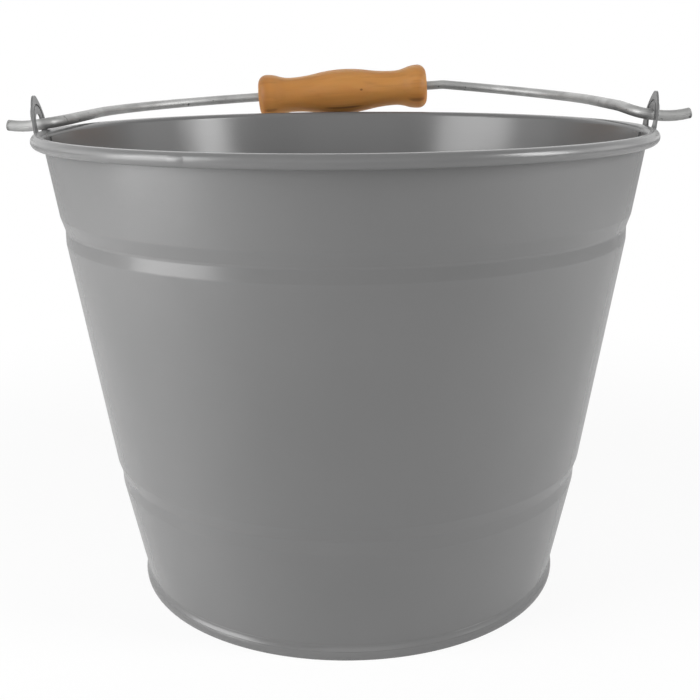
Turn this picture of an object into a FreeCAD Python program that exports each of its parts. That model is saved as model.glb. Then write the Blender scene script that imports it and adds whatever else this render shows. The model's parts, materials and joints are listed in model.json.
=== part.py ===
import FreeCAD, Part
import Sketcher
import math
import os

# Kindling bucket: a tapered sheet-steel bucket with a rolled rim, two riveted ears,
# a wire bail and a turned wooden grip. Millimetres, +Z up, the front towards -Y.
# The origin lies on the floor under the middle of the base.

SIZES = [
    ("rim_diameter", "310", "over the rolled rim"),
    ("bucket_height", "238.2", "floor to the top of the rolled rim"),
    ("sheet_thickness", "0.6", "wall and base"),
    ("wall_taper_angle", "8.46", "degrees, from the upper groove to the rim"),
    ("rim_wire_diameter", "5", "wire inside the rim"),
    ("roll_clearance", "0.05", "between the rim wire and the roll"),
    ("roll_tail_angle", "238", "degrees, where the rolled edge ends"),
    ("upper_groove_drop", "45.6", "rim to the bottom of the groove"),
    ("lower_groove_height", "65.6", "floor to the bottom of the groove"),
    ("lower_groove_diameter", "247.2", "wall at the lower groove, before pressing"),
    ("groove_width", "13.2", "both grooves"),
    ("groove_depth", "1.1", "both grooves"),
    ("groove_edge_radius", "4", "soft edges of the grooves"),
    ("base_diameter", "226.3", "over the hem"),
    ("hem_height", "5.6", "outer fold of the base"),
    ("hem_bulge", "0.9", "swelling of the outer fold"),
    ("hem_edge_radius", "0.28", "edges of the hem"),
    ("base_recess", "8", "floor to the underside of the base"),
    ("seam_clearance", "0.1", "between the wall and the folded base"),
    ("foot_rise", "0.2", "upright foot of the wall above the hem"),
    ("ear_width", "22.5", "strap of the ears"),
    ("ear_thickness", "1", "strap of the ears"),
    ("ear_lean_angle", "6", "degrees, outwards"),
    ("ear_roll_gap", "0.15", "between an ear and the rolled rim"),
    ("ear_wall_gap", "0.05", "between an ear and the wall"),
    ("ear_cut_margin", "5", "cutting outline beyond the strap"),
    ("ear_top_rise", "16.8", "top of an ear above the rim"),
    ("ear_oval_height", "18", "curved upper part of an ear"),
    ("ear_crown_radius", "4.9", "top of an ear"),
    ("ear_hole_diameter", "11", "hole for the bail"),
    ("ear_hole_rise", "2.5", "hole centre above the rim"),
    ("ear_leg_drop", "34", "lower end of an ear below the rim"),
    ("ear_corner_radius", "6", "lower corners of an ear"),
    ("ear_bead_inset", "3.6", "pressed bead inside the ear's outline"),
    ("ear_bead_rise", "2", "centre of the pressed bead above the hole's"),
    ("ear_bead_radius", "0.8", "section of the pressed bead"),
    ("ear_bead_hollow", "0.5", "hollow behind the pressed bead"),
    ("backing_thickness", "1", "plate inside the wall"),
    ("backing_drop", "3", "top of the plate below the rim"),
    ("backing_gap", "0.05", "between the plate and the wall"),
    ("rivet_diameter", "4", "shank"),
    ("rivet_clearance", "0.1", "shank in its holes, each side"),
    ("rivet_hole_reach", "10", "drilled each way from the wall's face"),
    ("rivet_head_diameter", "7.8", "outer head"),
    ("rivet_head_height", "1.9", "outer head"),
    ("rivet_tail_diameter", "6.4", "inner head"),
    ("rivet_tail_height", "1.1", "inner head"),
    ("rivet_seat_gap", "0.08", "inner head to the curved plate"),
    ("rivet_drop", "17.5", "upper rivet below the rim"),
    ("rivet_spacing", "11", "upper rivet to lower rivet"),
    ("bail_wire_diameter", "5.5", "bail"),
    ("bail_run", "64", "straight wire each side of the middle"),
    ("bail_run_angle", "3.4", "degrees, straight run up to the right"),
    ("bail_fall_angle", "5", "degrees, right-hand side down"),
    ("bail_kink_radius", "14", "bend beside the grip"),
    ("bail_leg_angle", "89.4", "degrees, turned by each corner of the arch"),
    ("bail_leg_inset", "12.1", "end of a straight leg inside the ear"),
    ("bail_leg_depth", "22.5", "end of a straight leg behind the ear"),
    ("bail_leg_gap_left", "0.65", "left leg to the top of the rim"),
    ("bail_leg_gap_right", "4.75", "right leg to the top of the rim"),
    ("bail_bend_start", "11", "hold on the leg's direction in the bend"),
    ("bail_bend_end", "7", "hold on the journal's direction in the bend"),
    ("bail_journal", "2", "straight wire each side of an ear's middle"),
    ("bail_journal_angle", "8", "degrees, down and outwards through the ears"),
    ("bail_stub_radius", "45", "ends curled upwards"),
    ("bail_stub_left", "14", "length of the left curled end"),
    ("bail_stub_right", "18", "length of the right curled end"),
    ("bail_end_radius", "0.8", "rounded cut ends"),
    ("journal_drop_left", "0.4", "left journal's underside below the rim"),
    ("journal_clearance", "0.2", "wire to the top of the right-hand hole"),
    ("grip_length", "109", "turned grip"),
    ("grip_end_diameter", "27.4", "flared ends"),
    ("grip_neck_diameter", "21.8", "necks"),
    ("grip_swell_diameter", "28.2", "middle"),
    ("grip_neck_inset", "21", "neck to the nearer end"),
    ("grip_end_radius", "5.5", "rounded ends"),
    ("grip_bore_clearance", "0.75", "grip loose on the wire, each side"),
    ("grip_shift", "1.5", "grip to the left of the middle"),
    ("grip_overhang", "7.5", "grip's axis behind the rim wire at rest"),
    ("grip_rest_gap", "0.35", "grip to the rim at rest"),
]

doc = FreeCAD.newDocument("kindling_bucket")
sheet = doc.addObject("Spreadsheet::Sheet", "Sizes")
for row, (alias, value, meaning) in enumerate(SIZES, start=1):
    sheet.set(f"A{row}", alias)
    sheet.set(f"B{row}", value)
    sheet.setAlias(f"B{row}", alias)
    sheet.set(f"C{row}", meaning)
doc.recompute()


class Size:
    """A size that follows the sheet: its value now and the expression that keeps it current."""

    def __init__(self, value, text):
        self.value = float(value)
        self.text = text

    @staticmethod
    def of(thing):
        return thing if isinstance(thing, Size) else Size(thing, repr(thing))

    def __add__(self, other):
        other = Size.of(other)
        return Size(self.value + other.value, f"({self.text} + {other.text})")

    def __sub__(self, other):
        other = Size.of(other)
        return Size(self.value - other.value, f"({self.text} - {other.text})")

    def __mul__(self, other):
        other = Size.of(other)
        return Size(self.value * other.value, f"({self.text} * {other.text})")

    def __truediv__(self, other):
        other = Size.of(other)
        return Size(self.value / other.value, f"({self.text} / {other.text})")

    def __radd__(self, other):
        return Size.of(other) + self

    def __rsub__(self, other):
        return Size.of(other) - self

    def __neg__(self):
        return 0 - self


def size(alias):
    return Size(sheet.get(alias), f"Sizes.{alias}")


def sine(angle):
    return Size(math.sin(math.radians(angle.value)), f"sin({angle.text})")


def cosine(angle):
    return Size(math.cos(math.radians(angle.value)), f"cos({angle.text})")


def tangent(angle):
    return Size(math.tan(math.radians(angle.value)), f"tan({angle.text})")


def arctangent(ratio):
    return Size(math.degrees(math.atan(ratio.value)), f"atan({ratio.text})")


def root(square):
    return Size(math.sqrt(square.value), f"sqrt({square.text})")


def bind(target, path, amount):
    target.setExpression(path, Size.of(amount).text)


def new_sketch(body, name, role):
    plane = [feature for feature in body.Origin.OriginFeatures if feature.Role == role][0]
    sketch = body.newObject("Sketcher::SketchObject", name)
    sketch.AttachmentSupport = (plane, [""])
    sketch.MapMode = "FlatFace"
    return sketch


def hold(sketch, geometry, position, x, y, tag):
    """Ties one point of a sketch to the sheet."""
    for kind, amount, axis in (("DistanceX", Size.of(x), -2), ("DistanceY", Size.of(y), -1)):
        if amount.text == "0":
            sketch.addConstraint(Sketcher.Constraint("PointOnObject", geometry, position, axis))
            continue
        index = sketch.addConstraint(
            Sketcher.Constraint(kind, -1, 1, geometry, position, amount.value))
        name = f"{tag}_{kind[-1].lower()}"
        sketch.renameConstraint(index, name)
        bind(sketch, f"Constraints.{name}", amount)


def arc_between(start, end, radius, turn, long_way):
    """The arc from start to end; turn is 1 for anticlockwise travel and -1 for clockwise."""
    chord = end - start
    rise = math.sqrt(max(radius ** 2 - (chord.Length / 2) ** 2, 0.0))
    left = FreeCAD.Vector(-chord.y, chord.x, 0).normalize()
    side = -turn if long_way else turn
    centre = (start + end) * 0.5 + left * (rise * side)
    first, last = (start, end) if turn > 0 else (end, start)
    angles = [math.atan2(point.y - centre.y, point.x - centre.x) for point in (first, last)]
    if angles[1] <= angles[0]:
        angles[1] += 2 * math.pi
    circle = Part.Circle(centre, FreeCAD.Vector(0, 0, 1), radius)
    return Part.ArcOfCircle(circle, angles[0], angles[1])


def outline(body, name, role, corners):
    """A closed outline. A corner is (x, y), or (x, y, radius, turn, long_way) when an arc follows."""
    sketch = new_sketch(body, name, role)
    points = [FreeCAD.Vector(Size.of(c[0]).value, Size.of(c[1]).value, 0) for c in corners]
    ends = []
    for index, corner in enumerate(corners):
        start, end = points[index], points[(index + 1) % len(points)]
        if len(corner) == 2:
            geometry = sketch.addGeometry(Part.LineSegment(start, end), False)
            ends.append((geometry, 1, 2))
            continue
        radius, turn, long_way = corner[2], corner[3], corner[4]
        arc = arc_between(start, end, radius.value, turn, long_way)
        geometry = sketch.addGeometry(arc, False)
        ends.append((geometry, 1, 2) if turn > 0 else (geometry, 2, 1))
        constraint = sketch.addConstraint(Sketcher.Constraint("Radius", geometry, radius.value))
        sketch.renameConstraint(constraint, f"radius_{index}")
        bind(sketch, f"Constraints.radius_{index}", radius)
    for index, corner in enumerate(corners):
        geometry, first, last = ends[index]
        following, start, unused = ends[(index + 1) % len(corners)]
        sketch.addConstraint(Sketcher.Constraint("Coincident", geometry, last, following, start))
        hold(sketch, geometry, first, corner[0], corner[1], f"corner_{index}")
    return sketch


def revolve(body, name, sketch, axis):
    feature = body.newObject("PartDesign::Revolution", name)
    feature.Profile = sketch
    feature.ReferenceAxis = (sketch, [axis])
    feature.Angle = 360
    doc.recompute()
    return feature


def soften_rings(body, name, feature, rings, radius):
    """Rounds the circular edges that lie at the given (radius, height) pairs."""
    chosen = []
    for index, edge in enumerate(feature.Shape.Edges, start=1):
        if not isinstance(edge.Curve, Part.Circle):
            continue
        for ring_radius, height in rings:
            near = abs(edge.Curve.Radius - ring_radius.value) < 1e-4
            level = abs(edge.Curve.Center.z - Size.of(height).value) < 1e-4
            if near and level:
                chosen.append(f"Edge{index}")
    fillet = body.newObject("PartDesign::Fillet", name)
    fillet.Base = (feature, chosen)
    fillet.Radius = radius.value
    bind(fillet, "Radius", radius)
    doc.recompute()
    return fillet


def place(target, x, z, angle):
    """Puts an object at (x, 0, z), turned about Y."""
    axis = FreeCAD.Vector(0, 1, 0)
    spot = FreeCAD.Vector(Size.of(x).value, 0, Size.of(z).value)
    target.Placement = FreeCAD.Placement(spot, FreeCAD.Rotation(axis, Size.of(angle).value))
    bind(target, "Placement.Base.x", x)
    bind(target, "Placement.Base.z", z)
    bind(target, "Placement.Rotation.Angle", angle)


# Sizes that several pieces share
sheet_thickness = size("sheet_thickness")
taper = size("wall_taper_angle")
roll_inner = size("rim_wire_diameter") / 2 + size("roll_clearance")
roll_outer = roll_inner + sheet_thickness
roll_centre = size("rim_diameter") / 2 - roll_outer
rim_top = size("bucket_height")
roll_level = rim_top - roll_outer
base_radius = size("base_diameter") / 2
hem_edge = base_radius - size("hem_bulge")
foot_outer = hem_edge - sheet_thickness - size("seam_clearance")
foot_inner = foot_outer - sheet_thickness
wall_slant = tangent(taper)
outer_top_radius = roll_centre - roll_inner * cosine(taper)
outer_top_level = roll_level + roll_inner * sine(taper)
inner_top_radius = roll_centre - roll_outer * cosine(taper)
inner_top_level = roll_level + roll_outer * sine(taper)


# Wall: one tapered sheet, its foot upright inside the hem, two pressed grooves,
# and its upper edge rolled outwards over the rim wire.
upper = rim_top - size("upper_groove_drop")
lower = size("lower_groove_height")
half_groove = size("groove_width") / 2
depth = size("groove_depth")
foot_top = size("hem_height") + size("foot_rise")
foot_bottom = sheet_thickness + size("seam_clearance")
radial = sheet_thickness / cosine(taper)
upper_radius = outer_top_radius - (outer_top_level - upper) * wall_slant
lower_radius = size("lower_groove_diameter") / 2
middle_slant = (upper_radius - lower_radius) / (upper - lower)
lower_slant = (lower_radius - foot_outer) / (lower - foot_top)
outside = [
    (foot_outer, foot_top),
    (lower_radius - half_groove * lower_slant, lower - half_groove),
    (lower_radius - depth, lower),
    (lower_radius + half_groove * middle_slant, lower + half_groove),
    (upper_radius - half_groove * middle_slant, upper - half_groove),
    (upper_radius - depth, upper),
    (upper_radius + half_groove * wall_slant, upper + half_groove),
]
inside = [(x - radial, z) for x, z in outside]
inside[0] = (foot_inner, foot_top)
tail = size("roll_tail_angle")
roll_start = (outer_top_radius, outer_top_level, roll_inner, -1, True)
tail_inner = (roll_centre + roll_inner * cosine(tail), roll_level + roll_inner * sine(tail))
tail_outer = (roll_centre + roll_outer * cosine(tail), roll_level + roll_outer * sine(tail),
              roll_outer, 1, True)
wall_corners = [(foot_outer, foot_bottom)] + outside + [roll_start, tail_inner, tail_outer]
wall_corners += [(inner_top_radius, inner_top_level)] + inside[::-1] + [(foot_inner, foot_bottom)]

bucket_wall = doc.addObject("PartDesign::Body", "bucket_wall")
wall_sketch = outline(bucket_wall, "wall_outline", "XZ_Plane", wall_corners)
wall_turned = revolve(bucket_wall, "wall_turned", wall_sketch, "V_Axis")
soften_rings(bucket_wall, "wall_soft", wall_turned, outside + inside, size("groove_edge_radius"))

# Rivet places on the wall, shared by the wall's holes, the ears' holes and the rivets
rivet_levels = {
    "upper": rim_top - size("rivet_drop"),
    "lower": rim_top - size("rivet_drop") - size("rivet_spacing"),
}
hole_radius = size("rivet_diameter") / 2 + size("rivet_clearance")
hole_reach = size("rivet_hole_reach")


def wall_face(level):
    return outer_top_radius - (outer_top_level - level) * wall_slant


def rivet_hole(body, name, side, level):
    """A hole square to the wall, through ear and wall alike."""
    hole = body.newObject("PartDesign::SubtractiveCylinder", name)
    hole.Height = (hole_reach * 2).value
    bind(hole, "Height", hole_reach * 2)
    hole.Radius = hole_radius.value
    bind(hole, "Radius", hole_radius)
    x = (wall_face(level) - hole_reach * cosine(taper)) * side
    place(hole, x, level + hole_reach * sine(taper), (90 + taper) * side)
    doc.recompute()


for side_name, side in (("left", -1), ("right", 1)):
    for level_name, level in rivet_levels.items():
        rivet_hole(bucket_wall, f"wall_hole_{side_name}_{level_name}", side, level)

# Rim wire: the stiffening wire inside the rolled rim
rim_wire = doc.addObject("Part::Torus", "rim_wire")
rim_wire.Radius1 = roll_centre.value
rim_wire.Radius2 = (size("rim_wire_diameter") / 2).value
rim_wire.Placement.Base = FreeCAD.Vector(0, 0, roll_level.value)
bind(rim_wire, "Radius1", roll_centre)
bind(rim_wire, "Radius2", size("rim_wire_diameter") / 2)
bind(rim_wire, "Placement.Base.z", roll_level)

# Base: a pressed pan, recessed from the floor, its edge folded down inside the wall,
# under the wall's foot and up again outside it as the hem, which swells a little.
pan_recess = size("base_recess")
leg_outer = foot_inner - size("seam_clearance")
leg_inner = leg_outer - sheet_thickness
hem_inner = hem_edge - sheet_thickness
hem_height = size("hem_height")
bulge = size("hem_bulge")


def bulged(rise):
    """Radius of an arc of the given height that swells by the hem's bulge."""
    return (rise * rise / 4 + bulge * bulge) / (bulge * 2)


pan_corners = [
    (0, pan_recess), (leg_inner, pan_recess), (leg_inner, 0),
    (hem_edge, 0, bulged(hem_height), 1, False),
    (hem_edge, hem_height), (hem_inner, hem_height, bulged(hem_height - sheet_thickness), -1, False),
    (hem_inner, sheet_thickness), (leg_outer, sheet_thickness),
    (leg_outer, pan_recess + sheet_thickness), (0, pan_recess + sheet_thickness),
]
base_pan = doc.addObject("PartDesign::Body", "base_pan")
pan_sketch = outline(base_pan, "pan_outline", "XZ_Plane", pan_corners)
pan_turned = revolve(base_pan, "pan_turned", pan_sketch, "V_Axis")
hem_rings = [(hem_edge, 0), (hem_edge, hem_height), (leg_inner, 0)]
soften_rings(base_pan, "pan_soft", pan_turned, hem_rings, size("hem_edge_radius"))

# Ears: a stamped strap each, curved to the wall and riveted to it below the rim, joggled out under
# the rolled rim, then up outside it to an oval lug with the bail's hole and a pressed bead.
lean = size("ear_lean_angle")
strap = size("ear_thickness")
half_width = size("ear_width") / 2
hole_level = rim_top + size("ear_hole_rise")
lug_top = rim_top + size("ear_top_rise")
leg_bottom = rim_top - size("ear_leg_drop")
joggle = Size.of(45)
roll_reach = roll_outer + size("ear_roll_gap")
lug_slant = tangent(lean)
lug_face = roll_centre + roll_reach
leg_shift = size("ear_wall_gap") / cosine(taper)
diagonal = roll_centre - roll_level + roll_reach / cosine(joggle)
upper_bend = (lug_face - roll_level * lug_slant - diagonal) / (1 - lug_slant)
lower_bend = (wall_face(Size.of(0)) + leg_shift - diagonal) / (1 - wall_slant)


def lug_inside(level):
    return lug_face + (level - roll_level) * lug_slant


def lug_outside(level):
    return lug_inside(level) + strap / cosine(lean)


def bend_offset(first, second):
    """From an inner corner of the bent strap to its outer corner."""
    share = strap / (1 + cosine(second - first))
    return share * (cosine(first) + cosine(second)), -share * (sine(first) + sine(second))


upper_shift = bend_offset(lean, joggle)
lower_shift = bend_offset(taper, joggle)
ear_corners = [
    (lug_inside(lug_top), lug_top),
    (upper_bend + diagonal, upper_bend),
    (lower_bend + diagonal, lower_bend),
    (wall_face(leg_bottom) + leg_shift, leg_bottom),
    (wall_face(leg_bottom) + leg_shift + strap / cosine(taper), leg_bottom),
    (lower_bend + diagonal + lower_shift[0], lower_bend + lower_shift[1]),
    (upper_bend + diagonal + upper_shift[0], upper_bend + upper_shift[1]),
    (lug_outside(lug_top), lug_top),
]
margin = size("ear_cut_margin")
waste = half_width + margin * 2
cut_low = leg_bottom - margin
cut_high = lug_top + margin
oval = size("ear_oval_height")
crown = size("ear_crown_radius")
oval_level = lug_top - oval
flank = (half_width * half_width + oval * oval - crown * oval * 2) / ((half_width - crown) * 2)
crown_reach = (flank - half_width) * crown / (flank - crown)
crown_level = oval_level + flank * (oval - crown) / (flank - crown)
lug_corners = [
    (half_width, cut_low), (waste, cut_low), (waste, cut_high), (-waste, cut_high),
    (-waste, cut_low), (-half_width, cut_low), (-half_width, oval_level, flank, -1, False),
    (-crown_reach, crown_level, crown, -1, False), (crown_reach, crown_level, flank, -1, False),
    (half_width, oval_level),
]


def curve_round(body, name, sketch):
    """A strip that follows the round wall, a little wider than an ear."""
    feature = revolve(body, name, sketch, "V_Axis")
    feature.Midplane = True
    sweep = arctangent((half_width + margin) / roll_centre) * 2
    feature.Angle = sweep.value
    bind(feature, "Angle", sweep)
    doc.recompute()


def pocket(body, name, sketch):
    feature = body.newObject("PartDesign::Pocket", name)
    feature.Profile = sketch
    feature.Type = "ThroughAll"
    feature.SideType = "Symmetric"
    doc.recompute()
    return feature


def bead_ring(body, kind, name, face, section):
    """Half a ring over the hole, square to the leaning lug, centred on one of its faces."""
    level = hole_level + size("ear_bead_rise")
    ring = body.newObject(kind, name)
    ring.Radius1 = (half_width - size("ear_bead_inset")).value
    ring.Radius2 = section.value
    ring.Angle3 = 180
    bind(ring, "Radius1", half_width - size("ear_bead_inset"))
    bind(ring, "Radius2", section)
    upright = FreeCAD.Rotation(FreeCAD.Vector(0, 1, 0), 90 + lean.value)
    spot = FreeCAD.Vector(face(level).value, 0, level.value)
    ring.Placement = FreeCAD.Placement(spot, upright * FreeCAD.Rotation(FreeCAD.Vector(0, 0, 1), 90))
    bind(ring, "Placement.Base.x", face(level))
    bind(ring, "Placement.Base.z", level)
    doc.recompute()
    return ring


ear_right = doc.addObject("PartDesign::Body", "ear_right")
curve_round(ear_right, "strap", outline(ear_right, "strap_outline", "XZ_Plane", ear_corners))
pocket(ear_right, "lug", outline(ear_right, "lug_outline", "YZ_Plane", lug_corners))
bead_ring(ear_right, "PartDesign::AdditiveTorus", "bead", lug_outside, size("ear_bead_radius"))
bead_ring(ear_right, "PartDesign::SubtractiveTorus", "bead_back", lug_inside, size("ear_bead_hollow"))
hole_sketch = new_sketch(ear_right, "hole_outline", "YZ_Plane")
hole_circle = Part.Circle(FreeCAD.Vector(0, hole_level.value, 0), FreeCAD.Vector(0, 0, 1),
                          (size("ear_hole_diameter") / 2).value)
hole_geometry = hole_sketch.addGeometry(hole_circle, False)
hold(hole_sketch, hole_geometry, 3, 0, hole_level, "centre")
hole_size = hole_sketch.addConstraint(
    Sketcher.Constraint("Diameter", hole_geometry, size("ear_hole_diameter").value))
hole_sketch.renameConstraint(hole_size, "across")
bind(hole_sketch, "Constraints.across", size("ear_hole_diameter"))
pocket(ear_right, "hole", hole_sketch)
for level_name, level in rivet_levels.items():
    rivet_hole(ear_right, f"ear_hole_{level_name}", 1, level)
ear_tip = ear_right.Tip
corner_edges = []
for index, edge in enumerate(ear_tip.Shape.Edges, start=1):
    middle = edge.CenterOfMass
    at_side = abs(abs(middle.y) - half_width.value) < 1e-4
    if at_side and abs(middle.z - leg_bottom.value) < 1e-4:
        corner_edges.append(f"Edge{index}")
ear_corner = ear_right.newObject("PartDesign::Fillet", "ear_corner")
ear_corner.Base = (ear_tip, corner_edges)
ear_corner.Radius = size("ear_corner_radius").value
bind(ear_corner, "Radius", size("ear_corner_radius"))
doc.recompute()

ear_left = doc.addObject("Part::Mirroring", "ear_left")
ear_left.Source = ear_right
ear_left.Normal = FreeCAD.Vector(1, 0, 0)
doc.recompute()

# Backing plates: one inside the wall behind each ear, held by the same rivets
backing = size("backing_thickness")
plate_top = rim_top - size("backing_drop")
plate_shift = radial + size("backing_gap") / cosine(taper)
plate_inside = plate_shift + backing / cosine(taper)
plate_corners = [
    (wall_face(leg_bottom) - plate_inside, leg_bottom), (wall_face(leg_bottom) - plate_shift, leg_bottom),
    (wall_face(plate_top) - plate_shift, plate_top), (wall_face(plate_top) - plate_inside, plate_top),
]
side_corners = [
    (half_width, cut_low), (waste, cut_low), (waste, cut_high), (half_width, cut_high),
]
backing_right = doc.addObject("PartDesign::Body", "backing_right")
plate_sketch = outline(backing_right, "plate_outline", "XZ_Plane", plate_corners)
curve_round(backing_right, "plate", plate_sketch)
for side_name, side in (("front", -1), ("rear", 1)):
    trimming = [(y * side, z) for y, z in side_corners]
    pocket(backing_right, f"plate_{side_name}", outline(backing_right, f"plate_side_{side_name}",
                                                       "YZ_Plane", trimming))
for level_name, level in rivet_levels.items():
    rivet_hole(backing_right, f"plate_hole_{level_name}", 1, level)
backing_left = doc.addObject("Part::Mirroring", "backing_left")
backing_left.Source = backing_right
backing_left.Normal = FreeCAD.Vector(1, 0, 0)
doc.recompute()

# Rivets: two to an ear, domed outside, with a flatter head formed on the backing plate
shank = size("rivet_diameter") / 2
head = size("rivet_head_diameter") / 2
formed = size("rivet_tail_diameter") / 2
head_height = size("rivet_head_height")
formed_height = size("rivet_tail_height")
seat = strap + size("ear_wall_gap")
clench = -(sheet_thickness + size("backing_gap") + backing + size("rivet_seat_gap"))
head_dome = (head * head + head_height * head_height) / (head_height * 2)
formed_dome = (formed * formed + formed_height * formed_height) / (formed_height * 2)
rivet_corners = [
    (0, clench - formed_height, formed_dome, 1, False), (formed, clench), (shank, clench),
    (shank, seat), (head, seat, head_dome, 1, False), (0, seat + head_height),
]
rivets = []
for side_name, side in (("left", -1), ("right", 1)):
    for level_name, level in rivet_levels.items():
        rivet = doc.addObject("PartDesign::Body", f"rivet_{side_name}_{level_name}")
        rivet_name = f"rivet_outline_{side_name}_{level_name}"
        rivet_sketch = outline(rivet, rivet_name, "XZ_Plane", rivet_corners)
        revolve(rivet, f"rivet_turned_{side_name}_{level_name}", rivet_sketch, "V_Axis")
        place(rivet, wall_face(level) * side, level, (90 + taper) * side)
        rivets.append(rivet)

# Grip: turned wood with flared ends, two necks and a swelled middle, loose on the wire.
# At rest it lies back on the rim, which sets its height.
half_length = size("grip_length") / 2
flare = size("grip_end_diameter") / 2
neck = size("grip_neck_diameter") / 2
swell = size("grip_swell_diameter") / 2
bore = size("bail_wire_diameter") / 2 + size("grip_bore_clearance")
rounding = size("grip_end_radius")
neck_place = half_length - size("grip_neck_inset")
flare_place = half_length - rounding
flare_gap = flare_place - neck_place
flare_rise = flare - neck
swell_rise = swell - neck
flare_curve = (flare_gap * flare_gap + flare_rise * flare_rise) / (flare_rise * 4)
swell_curve = (neck_place * neck_place + swell_rise * swell_rise) / (swell_rise * 4)
flare_middle = (flare_place + neck_place) / 2
flare_height = (flare + neck) / 2
swell_middle = neck_place / 2
swell_height = (swell + neck) / 2
grip_corners = [
    (-half_length, bore), (-half_length, flare - rounding, rounding, -1, False),
    (-flare_place, flare, flare_curve, -1, False),
    (-flare_middle, flare_height, flare_curve, 1, False),
    (-neck_place, neck, swell_curve, 1, False),
    (-swell_middle, swell_height, swell_curve, -1, False),
    (swell_middle, swell_height, swell_curve, 1, False),
    (neck_place, neck, flare_curve, 1, False),
    (flare_middle, flare_height, flare_curve, -1, False),
    (flare_place, flare, rounding, -1, False),
    (half_length, flare - rounding), (half_length, bore),
]
tilt = size("bail_run_angle")
rest_reach = roll_outer + swell + size("grip_rest_gap")
overhang = size("grip_overhang")
run_level = roll_level + root(rest_reach * rest_reach - overhang * overhang)
run_depth = roll_centre + overhang
wood_grip = doc.addObject("PartDesign::Body", "wood_grip")
grip_sketch = outline(wood_grip, "grip_outline", "XZ_Plane", grip_corners)
revolve(wood_grip, "grip_turned", grip_sketch, "H_Axis")
grip_shift = size("grip_shift")
place(wood_grip, -grip_shift * cosine(tilt), run_level - grip_shift * sine(tilt), -tilt)
wood_grip.Placement.Base.y = run_depth.value
bind(wood_grip, "Placement.Base.y", run_depth)

# Bail: one length of wire, straight through the grip, bent down a little beside it, arched to both
# sides and bent outwards through the ears, with ends curled upwards. Each half lies in a plane of
# its own until the bend at its ear.
wire_half = size("bail_wire_diameter") / 2
wire_radius = wire_half.value
ear_middle = ((lug_inside(hole_level) + lug_outside(hole_level)) / 2).value
right_rise = size("ear_hole_diameter") / 2 - wire_half - size("journal_clearance")
wire_on_rim = rim_top + wire_half
journal_left = FreeCAD.Vector(-ear_middle, 0, (wire_on_rim - size("journal_drop_left")).value)
journal_right = FreeCAD.Vector(ear_middle, 0, (hole_level + right_rise).value)
leg_left = FreeCAD.Vector(-ear_middle, 0, (wire_on_rim + size("bail_leg_gap_left")).value)
leg_right = FreeCAD.Vector(ear_middle, 0, (wire_on_rim + size("bail_leg_gap_right")).value)
run_direction = FreeCAD.Vector(cosine(tilt).value, 0, sine(tilt).value)
fall = size("bail_fall_angle")
fall_direction = FreeCAD.Vector(cosine(fall).value, 0, -sine(fall).value)
run_middle = FreeCAD.Vector(0, run_depth.value, run_level.value)
run_half = sheet.get("bail_run")
kink = math.radians((tilt + fall).value)
kink_radius = sheet.get("bail_kink_radius")
kink_length = kink_radius * math.tan(kink / 2)


def bail_side(start, out, foot, journal, stub):
    """Arch, leg, bend, journal and curled end of one side, from the straight run outwards."""
    turn = math.radians(sheet.get("bail_leg_angle"))
    straight = sheet.get("bail_journal")
    curl = sheet.get("bail_stub_radius")
    reach = foot - start
    along = reach.dot(out)
    across = reach - out * along
    down = FreeCAD.Vector(across).normalize()
    leg_out = along - sheet.get("bail_leg_inset")
    leg_down = across.Length - sheet.get("bail_leg_depth")
    arch = (leg_out * math.sin(turn) - leg_down * math.cos(turn)) / (1 - math.cos(turn))

    arch_points = [start + out * (arch * math.sin(a)) + down * (arch - arch * math.cos(a))
                   for a in (0, turn / 2, turn)]
    leg_end = start + out * leg_out + down * leg_down
    leg_direction = out * math.cos(turn) + down * math.sin(turn)

    slope = math.radians(sheet.get("bail_journal_angle"))
    side = math.copysign(1, journal.x)
    through = FreeCAD.Vector(side * math.cos(slope), 0, -math.sin(slope))
    upwards = FreeCAD.Vector(side * math.sin(slope), 0, math.cos(slope))
    journal_start = journal - through * straight
    bend = Part.BezierCurve()
    bend.setPoles([leg_end, leg_end + leg_direction * sheet.get("bail_bend_start"),
                   journal_start - through * sheet.get("bail_bend_end"), journal_start])
    curl_points = [journal + through * (straight + curl * math.sin(a)) + upwards * (curl - curl * math.cos(a))
                   for a in (0, stub / curl / 2, stub / curl)]
    return [
        Part.Arc(*arch_points).toShape(),
        Part.LineSegment(arch_points[2], leg_end).toShape(),
        bend.toShape(),
        Part.LineSegment(journal_start, curl_points[0]).toShape(),
        Part.Arc(*curl_points).toShape(),
    ]


left_start = run_middle - run_direction * run_half
corner = run_middle + run_direction * run_half
kink_start = corner - run_direction * kink_length
right_start = corner + fall_direction * kink_length
kink_offset = kink_radius / math.cos(kink / 2) - kink_radius
kink_inward = FreeCAD.Vector(fall_direction - run_direction).normalize()
kink_middle = corner + kink_inward * kink_offset
left_side = bail_side(left_start, -run_direction, leg_left, journal_left, sheet.get("bail_stub_left"))
path = [edge.reversed() for edge in left_side][::-1]
path.append(Part.LineSegment(left_start, kink_start).toShape())
path.append(Part.Arc(kink_start, kink_middle, right_start).toShape())
path += bail_side(right_start, fall_direction, leg_right, journal_right, sheet.get("bail_stub_right"))
spine = Part.Wire(Part.__sortEdges__(path))
first_edge = spine.OrderedEdges[0]
first_point = spine.OrderedVertexes[0].Point
first_tangent = first_edge.tangentAt(first_edge.FirstParameter)
section = Part.Wire([Part.Circle(first_point, first_tangent, wire_radius).toShape()])
bail_shape = spine.makePipeShell([section], True, False)
end_edges = [edge for edge in bail_shape.Edges
             if any(edge.isSame(rim) for face in bail_shape.Faces
                    if isinstance(face.Surface, Part.Plane) for rim in face.Edges)]
bail_wire = doc.addObject("Part::Feature", "bail_wire")
bail_wire.Shape = bail_shape.makeFillet(sheet.get("bail_end_radius"), end_edges)
doc.recompute()

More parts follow.
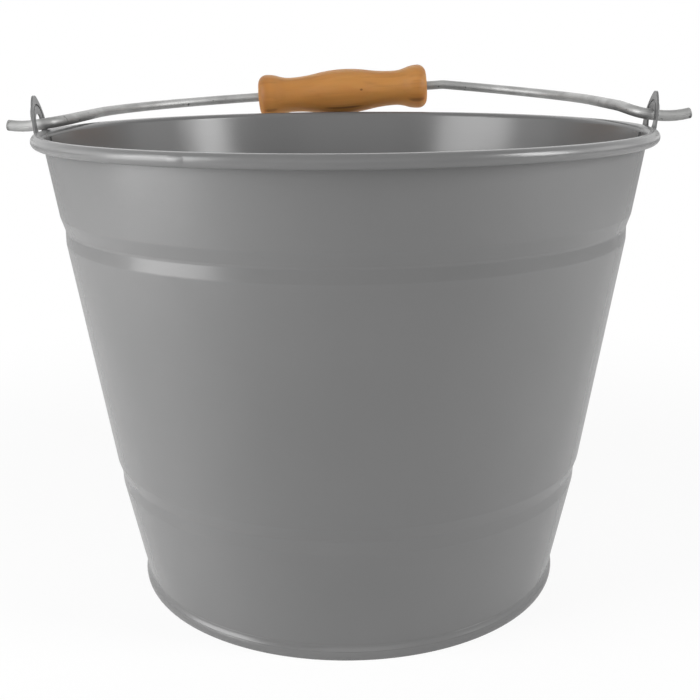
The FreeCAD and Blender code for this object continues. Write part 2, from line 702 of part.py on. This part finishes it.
# Every piece is checked, then written out under its own name
os.makedirs("parts", exist_ok=True)
for item in doc.Objects:
    if "Invalid" in item.State or "Error" in item.State:
        raise RuntimeError(f"{item.Label} did not build: {item.State}")
for piece in [bucket_wall, rim_wire, base_pan, ear_left, ear_right, backing_left, backing_right,
              *rivets, bail_wire, wood_grip]:
    if piece.Shape.isNull() or not piece.Shape.isValid():
        raise RuntimeError(f"{piece.Label} has no valid shape")
    piece.Shape.exportStep(f"parts/{piece.Label}.step")
    box = piece.Shape.optimalBoundingBox()
    print(f"{piece.Label}: {len(piece.Shape.Solids)} solid, {piece.Shape.Volume:.0f} mm3, "
          f"x {box.XMin:.2f} to {box.XMax:.2f}, y {box.YMin:.2f} to {box.YMax:.2f}, "
          f"z {box.ZMin:.2f} to {box.ZMax:.2f}")
print("journals", journal_left, journal_right, "grip run", run_middle)
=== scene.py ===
import json
import math

import bpy
from mathutils import Euler, Matrix, Vector


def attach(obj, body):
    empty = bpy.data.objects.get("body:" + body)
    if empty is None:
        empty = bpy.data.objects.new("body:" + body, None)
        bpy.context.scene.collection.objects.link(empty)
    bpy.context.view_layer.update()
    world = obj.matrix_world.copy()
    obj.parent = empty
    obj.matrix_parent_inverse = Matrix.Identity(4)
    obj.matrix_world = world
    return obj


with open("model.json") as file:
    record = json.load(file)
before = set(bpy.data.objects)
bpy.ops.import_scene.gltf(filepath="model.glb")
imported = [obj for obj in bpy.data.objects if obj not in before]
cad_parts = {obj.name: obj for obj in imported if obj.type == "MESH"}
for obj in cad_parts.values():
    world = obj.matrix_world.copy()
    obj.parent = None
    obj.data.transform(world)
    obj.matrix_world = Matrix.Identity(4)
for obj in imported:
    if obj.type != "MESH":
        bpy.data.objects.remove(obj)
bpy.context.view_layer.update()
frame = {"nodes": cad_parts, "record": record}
nodes = frame["nodes"]


# Wall: one sheet of thin steel, rolled to a taper, grooved twice and turned outwards over a wire at
# the top. It is sprayed satin grey after forming, so the paint runs unbroken over seams and edges.
class Tone:
    """One value in a finish: a socket of its node tree. Arithmetic on it adds the Math nodes."""

    def __init__(self, tree, socket):
        self.tree = tree
        self.socket = socket

    def add(self, kind, settings, inputs, output=0):
        """Adds a node of any kind: its settings first, then the values or links of its sockets."""
        node = self.tree.nodes.new(kind)
        for name, value in settings.items():
            setattr(node, name, value)
        for name, value in inputs.items():
            if isinstance(value, Tone):
                self.tree.links.new(value.socket, node.inputs[name])
            else:
                node.inputs[name].default_value = value
        return Tone(self.tree, node.outputs[output])

    def maths(self, operation, first, second):
        return self.add("ShaderNodeMath", {"operation": operation}, {0: first, 1: second})

    def __add__(self, other):
        return self.maths("ADD", self, other)

    def __radd__(self, other):
        return self.maths("ADD", other, self)

    def __sub__(self, other):
        return self.maths("SUBTRACT", self, other)

    def __rsub__(self, other):
        return self.maths("SUBTRACT", other, self)

    def __mul__(self, other):
        return self.maths("MULTIPLY", self, other)

    def __rmul__(self, other):
        return self.maths("MULTIPLY", other, self)

    def between(self, low, high):
        """0 below low, 1 above high, smooth in between."""
        limits = {"Value": self, "From Min": low, "From Max": high}
        return self.add("ShaderNodeMapRange", {"interpolation_type": "SMOOTHSTEP"}, limits)

    def noise(self, scale, detail=2.0):
        return self.add("ShaderNodeTexNoise", {}, {"Vector": self, "Scale": scale, "Detail": detail})

    def blend(self, first, second):
        """A colour that goes from first to second as this value goes from 0 to 1."""
        colours = {0: self, 6: first, 7: second}
        return self.add("ShaderNodeMix", {"data_type": "RGBA"}, colours, output=2)

    def bump(self, height, normal=None):
        """The surface normal where this value is a relief of the given height in metres."""
        inputs = {"Height": self, "Distance": height, "Strength": 1.0}
        if normal is not None:
            inputs["Normal"] = normal
        return self.add("ShaderNodeBump", {}, inputs)


def new_finish(name, **constants):
    """A material, and the place on the piece in metres that its pattern starts from."""
    material = bpy.data.materials.new(name)
    material.use_nodes = True
    shader = material.node_tree.nodes["Principled BSDF"]
    for socket, value in constants.items():
        shader.inputs[socket.replace("_", " ")].default_value = value
    surface = Tone(material.node_tree, shader.outputs[0])
    return material, surface.add("ShaderNodeTexCoord", {}, {}, output="Object")


def feed(material, **tones):
    shader = material.node_tree.nodes["Principled BSDF"]
    for name, tone in tones.items():
        material.node_tree.links.new(tone.socket, shader.inputs[name.replace("_", " ")])


def coat_with(material, *names):
    for name in names:
        nodes[name].data.materials.clear()
        nodes[name].data.materials.append(material)


grey_paint, on_steel = new_finish("satin_grey_paint", IOR=1.5)
paint_drift = on_steel.noise(9.0)
paint_peel = on_steel.noise(750.0, 1.0)
sheet_ripple = on_steel.noise(22.0, 1.0)
paint_tone = paint_drift.between(0.3, 0.7).blend((0.146, 0.146, 0.146, 1), (0.156, 0.156, 0.156, 1))
paint_relief = paint_peel.bump(0.00002, sheet_ripple.bump(0.0006))
feed(grey_paint, Base_Color=paint_tone, Roughness=0.21 + paint_drift * 0.07, Normal=paint_relief)
coat_with(grey_paint, "bucket_wall")

# Rim wire: plain drawn steel wire, bent to a ring. The top edge of the wall is rolled over it to
# stiffen the mouth, and the roll covers it all round.
bare_steel, on_wire = new_finish("bare_rim_steel", Metallic=1.0)
wire_mottle = on_wire.noise(300.0)
feed(bare_steel, Base_Color=wire_mottle.blend((0.30, 0.30, 0.30, 1), (0.45, 0.45, 0.45, 1)),
     Roughness=0.35 + wire_mottle * 0.2)
coat_with(bare_steel, "rim_wire")

# Rim joint: the ends of the sheet and of the wire meet at the front left of the roll. The joint is a
# small lump, smoothed over by the paint.
def new_piece(name, corners, faces, finish):
    """A painted piece of the bucket from its corners in metres."""
    mesh = bpy.data.meshes.new(name)
    mesh.from_pydata(corners, [], faces)
    mesh.shade_smooth()
    mesh.materials.append(finish)
    piece = bpy.data.objects.new(name, mesh)
    bpy.context.scene.collection.objects.link(piece)
    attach(piece, "bucket")


roll_radius = 0.00315
roll_centre = (0.15185, 0.23505)
lump_middle, lump_half_width = math.radians(-115), math.radians(2.0)
lump_tilt, lump_half_height = math.radians(-5), math.radians(80)
lump_rise = 0.0003
lump_edge_depth = 0.00015
lump_back_depth = 0.0004
lump_steps = 16


def on_roll(across, up, radius):
    """A corner at the given radius from the middle of the roll, -1 to 1 across and up the lump."""
    angle = lump_middle + across * lump_half_width
    tilt = lump_tilt + up * lump_half_height
    reach = roll_centre[0] + radius * math.cos(tilt)
    return (reach * math.cos(angle), reach * math.sin(angle), roll_centre[1] + radius * math.sin(tilt))


lump_height = lump_rise + lump_edge_depth
lump_corners = []
lump_faces = []
row = lump_steps + 1
for i in range(row):
    for j in range(row):
        across, up = 2 * i / lump_steps - 1, 2 * j / lump_steps - 1
        swell = ((1 - across ** 2) * (1 - up ** 2)) ** 2
        lump_corners.append(on_roll(across, up, roll_radius - lump_edge_depth + lump_height * swell))
for i in range(row):
    for j in range(row):
        across, up = 2 * i / lump_steps - 1, 2 * j / lump_steps - 1
        lump_corners.append(on_roll(across, up, roll_radius - lump_back_depth))
for i in range(lump_steps):
    for j in range(lump_steps):
        outer = [i * row + j, (i + 1) * row + j, (i + 1) * row + j + 1, i * row + j + 1]
        lump_faces.append(outer)
        lump_faces.append([corner + row * row for corner in reversed(outer)])
edge = [i * row for i in range(row)] + [lump_steps * row + j for j in range(1, row)]
edge += [i * row + lump_steps for i in range(lump_steps - 1, -1, -1)] + list(range(lump_steps - 1, 0, -1))
for first, second in zip(edge, edge[1:] + edge[:1]):
    lump_faces.append([second, first, first + row * row, second + row * row])
new_piece("rim_joint", lump_corners, lump_faces, grey_paint)

# Base: a pressed pan, its edge folded round the foot of the wall as the hem that it stands on. The
# sprayed paint fills the seam above the hem with a small fillet, which has shrunk at the front left.
coat_with(grey_paint, "base_pan")
hem_start, hem_slope = (0.11283, 0.0046), -0.404
wall_end, wall_slope = (0.11193, 0.0076), 0.2015
seam_bottom = (0.11155, 0.00585)
seam_back = [(0.11188, 0.0076), (0.11150, 0.0059), (0.11220, 0.0052), (0.11260, 0.0046)]
shrunk_from, shrunk_to = math.radians(-113), math.radians(-94)
shrink_run = math.radians(4)
shrink_share = 0.6
seam_steps = 256
curve_steps = 12
fillet_rise = wall_end[1] - hem_start[1]
seam_corners = []
for step in range(seam_steps):
    angle = 2 * math.pi * step / seam_steps - math.pi
    nearness = min(angle - shrunk_from, shrunk_to - angle) / shrink_run
    shrinkage = shrink_share * min(max(nearness, 0), 1)
    outline = []
    for i in range(curve_steps + 1):
        t = i / curve_steps
        radius = ((1 + 2 * t) * (1 - t) ** 2 * hem_start[0] + t * (1 - t) ** 2 * fillet_rise * hem_slope
                  + t * t * (3 - 2 * t) * wall_end[0] - t * t * (1 - t) * fillet_rise * wall_slope)
        height = hem_start[1] + t * fillet_rise
        drawn = shrinkage * math.sin(math.pi * t) ** 2
        drawn_radius = radius + drawn * (seam_bottom[0] - radius)
        outline.append((drawn_radius, height + drawn * (seam_bottom[1] - height)))
    for radius, height in outline + seam_back:
        seam_corners.append((radius * math.cos(angle), radius * math.sin(angle), height))
ring = curve_steps + 1 + len(seam_back)
seam_faces = []
for step in range(seam_steps):
    this, after = step * ring, (step + 1) % seam_steps * ring
    for i in range(ring):
        j = (i + 1) % ring
        seam_faces.append((this + i, after + i, after + j, this + j))
new_piece("seam_paint", seam_corners, seam_faces, grey_paint)

# Ears and rivets: stamped steel straps that stand up outside the rim, with a hole for the bail. Two
# rivets hold each one to the wall and to a curved plate inside it, all painted with the bucket.
coat_with(grey_paint, "ear_left", "ear_right", "backing_left", "backing_right", "rivet_left_upper",
          "rivet_left_lower", "rivet_right_upper", "rivet_right_lower")

# Bail: one length of galvanised wire, bent by hand. Zinc leaves it mottled grey, with small nicks
# where it was gripped for bending. The cut ends show dull steel.
zinc, on_bail = new_finish("galvanised_wire", Metallic=0.75)
zinc_cloud = on_bail.noise(45.0, 3.0)
zinc_grain = on_bail.noise(700.0, 3.0)
zinc_pit = on_bail.noise(420.0, 1.0)
zinc_tone = zinc_cloud.between(0.35, 0.65).blend((0.29, 0.29, 0.285, 1), (0.40, 0.40, 0.395, 1))
pitted_zinc = (zinc_pit.between(0.68, 0.76) * 0.8).blend(zinc_tone, (0.07, 0.07, 0.07, 1))
bail_across = on_bail.add("ShaderNodeSeparateXYZ", {}, {"Vector": on_bail}, output=0)
left_tip, right_tip = 0.1725, 0.1766
cut_from, cut_to = 0.0023, 0.0003
left_cut = (0 - bail_across).between(left_tip - cut_from, left_tip - cut_to)
right_cut = bail_across.between(right_tip - cut_from, right_tip - cut_to)
cut_ends = left_cut + right_cut
cut_steel = (cut_ends * 0.8).blend(pitted_zinc, (0.085, 0.085, 0.085, 1))
zinc_relief = zinc_pit.between(0.68, 0.8).bump(-0.00012, zinc_grain.bump(0.00008))
wire_roughness = 0.40 + zinc_grain * 0.25 + cut_ends * 0.2
feed(zinc, Base_Color=cut_steel, Roughness=wire_roughness, Normal=zinc_relief)
coat_with(zinc, "bail_wire")

# Grip: a turned piece of pale hardwood under a clear varnish, loose on the wire. The grain runs
# along it, with darker streaks and one small knot. The ends are darker, partly as end grain that has
# drunk more varnish and partly as painted shade, heavier at the left end where the left panels light it.
spin = [joint for joint in frame["record"]["behaviour"]["joints"] if joint["name"] == "grip_spin"][0]
grip_middle = Vector(spin["pos_m"])
grip_tilt = math.atan2(spin["axis"][2], spin["axis"][0])
wood, on_wood = new_finish("varnished_wood", Specular_IOR_Level=0.25, Coat_Weight=0.08, Coat_Roughness=0.35,
                           Subsurface_Weight=0.6, Subsurface_Scale=0.007, Subsurface_Radius=(1.0, 0.6, 0.3))
along_grip = on_wood.add("ShaderNodeVectorRotate", {"rotation_type": "Y_AXIS"},
                         {"Vector": on_wood, "Center": grip_middle, "Angle": grip_tilt})
in_grip = on_wood.add("ShaderNodeVectorMath", {"operation": "SUBTRACT"}, {0: along_grip, 1: grip_middle})
fibres = on_wood.add("ShaderNodeMapping", {}, {"Vector": in_grip, "Scale": (14.0, 420.0, 420.0)})
bands = on_wood.add("ShaderNodeMapping", {}, {"Vector": in_grip, "Scale": (9.0, 90.0, 90.0)})
fibre = fibres.noise(1.0, 4.0)
band = bands.noise(1.0, 3.0)


def grain_mark(place, length, thickness):
    """1 in a mark that lies along the grain, 0 away from it. Its place is from the grip's middle."""
    offset = on_wood.add("ShaderNodeVectorMath", {"operation": "SUBTRACT"}, {0: in_grip, 1: place})
    spread = (2 / length, 2 / thickness, 2 / thickness)
    scaled = on_wood.add("ShaderNodeVectorMath", {"operation": "MULTIPLY"}, {0: offset, 1: spread})
    far = on_wood.add("ShaderNodeVectorMath", {"operation": "LENGTH"}, {0: scaled}, output=1)
    return 1 - far.between(0.35, 1.0)


wood_tone = band.between(0.3, 0.7).blend((0.50, 0.226, 0.057, 1), (0.588, 0.284, 0.082, 1))
streaked = (fibre.between(0.45, 0.75) * 0.30).blend(wood_tone, (0.30, 0.115, 0.028, 1))
flare_mark = grain_mark((0.048, -0.011, -0.0082), 0.018, 0.0042)
under_mark = grain_mark((0.001, -0.0099, -0.0099), 0.052, 0.0026)
end_mark = grain_mark((-0.047, -0.0106, -0.0086), 0.016, 0.0036)
knot_mark = grain_mark((0.012, -0.0131, 0.0007), 0.0026, 0.0018)
flare_streak = (flare_mark * 0.55).blend(streaked, (0.13, 0.05, 0.012, 1))
under_streak = (under_mark * 0.65).blend(flare_streak, (0.10, 0.04, 0.01, 1))
end_streak = (end_mark * 0.5).blend(under_streak, (0.14, 0.05, 0.012, 1))
knot = (knot_mark * 0.7).blend(end_streak, (0.09, 0.03, 0.008, 1))
along_grain = on_wood.add("ShaderNodeSeparateXYZ", {}, {"Vector": in_grip}, output=0)
grip_end = 0.0535
# Painted shade over the end grain: both ends darken, the left end twice as much as the right.
left_end_shade = (0 - along_grain).between(0.045, grip_end) * 0.5
right_end_shade = along_grain.between(0.047, grip_end) * 0.25
end_grain_and_shade = (left_end_shade + right_end_shade).blend(knot, (0.20, 0.072, 0.014, 1))
feed(wood, Base_Color=end_grain_and_shade, Roughness=0.46 + fibre * 0.14, Normal=fibre.bump(0.00005))
coat_with(wood, "wood_grip")

# Studio: a pale floor that keeps the bucket's shadow, in a white surround. Soft panels stand to the
# left and, weaker, to the right, with faint ones in front and behind.
floor_mesh = bpy.data.meshes.new("floor")
floor_half = 6.0
floor_corners = [(-floor_half, -floor_half, 0), (floor_half, -floor_half, 0),
                 (floor_half, floor_half, 0), (-floor_half, floor_half, 0)]
floor_mesh.from_pydata(floor_corners, [], [(0, 1, 2, 3)])
floor = bpy.data.objects.new("floor", floor_mesh)
bpy.context.scene.collection.objects.link(floor)
pale_floor, on_floor = new_finish("pale_floor", Base_Color=(0.85, 0.85, 0.85, 1), Roughness=0.8,
                                  Emission_Color=(1, 1, 1, 1), Emission_Strength=0.18)
floor_tree = pale_floor.node_tree
lit_floor = Tone(floor_tree, floor_tree.nodes["Principled BSDF"].outputs[0])
white = on_floor.add("ShaderNodeEmission", {}, {"Color": (1, 1, 1, 1), "Strength": 1.0})
seen = on_floor.add("ShaderNodeLightPath", {}, {}, output="Is Camera Ray")
from_bucket = on_floor.add("ShaderNodeVectorMath", {"operation": "LENGTH"}, {0: on_floor}, output=1)
white_share = 0.86 + from_bucket.between(0.25, 0.6) * 0.14
shown_floor = on_floor.add("ShaderNodeMixShader", {}, {0: seen * white_share, 1: lit_floor, 2: white})
floor_tree.links.new(shown_floor.socket, floor_tree.nodes["Material Output"].inputs["Surface"])
floor_mesh.materials.append(pale_floor)

world = bpy.data.worlds.new("studio")
bpy.context.scene.world = world
world.use_nodes = True
sky = world.node_tree
room_light = sky.nodes["Background"]
room_light.inputs["Color"].default_value = (1, 1, 1, 1)
room_light.inputs["Strength"].default_value = 0.11
room = Tone(sky, room_light.outputs[0])
backdrop = room.add("ShaderNodeBackground", {}, {"Color": (1, 1, 1, 1), "Strength": 1.0})
looked_at = room.add("ShaderNodeLightPath", {}, {}, output="Is Camera Ray")
mirrored = room.add("ShaderNodeLightPath", {}, {}, output="Is Glossy Ray")
seen_through = room.add("ShaderNodeLightPath", {}, {}, output="Is Transmission Ray")
shown = room.maths("MAXIMUM", looked_at, room.maths("MAXIMUM", mirrored, seen_through))
surround = room.add("ShaderNodeMixShader", {}, {0: shown, 1: room, 2: backdrop})
sky.links.new(surround.socket, sky.nodes["World Output"].inputs["Surface"])


def soft_light(name, place, target, width, height, power):
    lamp = bpy.data.lights.new(name, "AREA")
    lamp.shape = "RECTANGLE"
    lamp.size = width
    lamp.size_y = height
    lamp.energy = power
    light = bpy.data.objects.new(name, lamp)
    light.location = place
    light.rotation_euler = (Vector(target) - Vector(place)).to_track_quat("-Z", "Y").to_euler()
    bpy.context.scene.collection.objects.link(light)


bucket_middle = (0, 0, 0.13)
soft_light("left_panel_low", (-0.88, -0.4, 0.14), bucket_middle, 0.6, 0.28, 2.8)
soft_light("left_panel_middle", (-0.98, -0.49, 0.5), bucket_middle, 0.7, 0.4, 7.0)
soft_light("left_panel_high", (-0.8, -0.42, 0.8), bucket_middle, 0.5, 0.25, 2.2)
soft_light("left_panel_back", (-1.05, 0.12, 0.45), bucket_middle, 0.4, 0.5, 0.6)
soft_light("right_panel_middle", (1.0, -0.42, 0.45), bucket_middle, 0.35, 0.3, 3.9)
soft_light("right_panel_high", (1.0, -0.42, 0.8), bucket_middle, 0.35, 0.3, 5.0)
soft_light("right_panel_back", (1.05, 0.15, 0.45), bucket_middle, 0.4, 0.5, 0.8)
soft_light("front_panel", (0, -1.3, 0.45), bucket_middle, 1.2, 0.6, 1.0)
soft_light("back_panel", (0, 1.0, 0.9), bucket_middle, 1.2, 0.6, 2.0)

# Camera: stands a little above the rim and looks down at the front. Its place and lens are fitted to
# the rim, the grooves and the foot of the wall.
eye = Vector((0.0, -0.5472, 0.2729))
look_down = 0.2727
look_right = 0.0028
roll = -0.0077
lens = bpy.data.cameras.new("photograph_view")
lens.sensor_width = 36.0
lens.lens = 54.0
camera = bpy.data.objects.new("photograph_view", lens)
turned = Euler((math.pi / 2 - look_down, 0, -look_right)).to_matrix() @ Matrix.Rotation(roll, 3, "Z")
camera.matrix_world = Matrix.Translation(eye) @ turned.to_4x4()
bpy.context.scene.collection.objects.link(camera)
bpy.context.scene.camera = camera
bpy.context.scene.view_settings.view_transform = "Standard"
